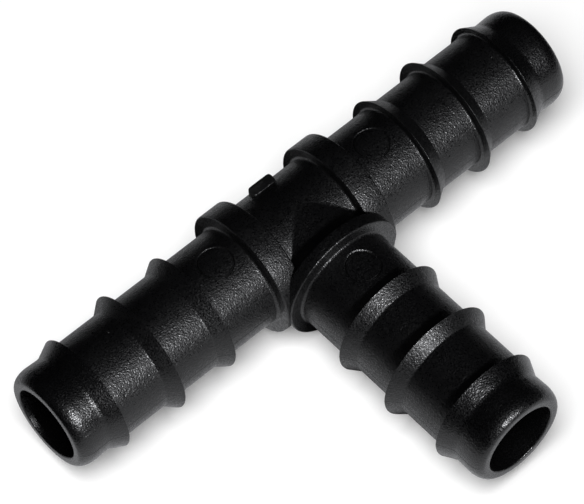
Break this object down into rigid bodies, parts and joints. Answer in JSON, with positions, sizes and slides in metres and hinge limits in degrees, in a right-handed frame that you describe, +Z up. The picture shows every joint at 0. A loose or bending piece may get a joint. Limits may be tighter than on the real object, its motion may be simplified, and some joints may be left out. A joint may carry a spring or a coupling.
{
  "type": "barbed pipe tee",
  "caption": "T-shaped push-in connector for soft plastic pipe: hollow barbed spigots with stop collars around a short bored-through hub.",
  "frame": {"origin": "on the surface the tee lies on, under the middle of its outline", "axes": "+X along the run, -Y along the branch, +Z up through the side with the ejector marks; the axes of run and branch cross at (0, 0.01495, 0.0083)"},
  "size_m": [0.0766, 0.0466, 0.0166],
  "materials": {
    "black_plastic": "black moulded plastic with a fine spark-eroded grain",
    "black_plastic_nose": "the same plastic, a little smoother on the rounded noses"
  },
  "bodies": {
    "root": {"hub_body": "black_plastic", "gate_tab": "black_plastic", "left_collar": "black_plastic", "left_stem": "black_plastic", "left_barb_1": "black_plastic", "left_barb_2": "black_plastic", "left_nose_barb": "black_plastic_nose", "right_collar": "black_plastic", "right_stem": "black_plastic", "right_barb_1": "black_plastic", "right_barb_2": "black_plastic", "right_nose_barb": "black_plastic_nose", "branch_collar": "black_plastic", "branch_stem": "black_plastic", "branch_barb_1": "black_plastic", "branch_barb_2": "black_plastic", "branch_nose_barb": "black_plastic_nose"}
  },
  "joints": []
}
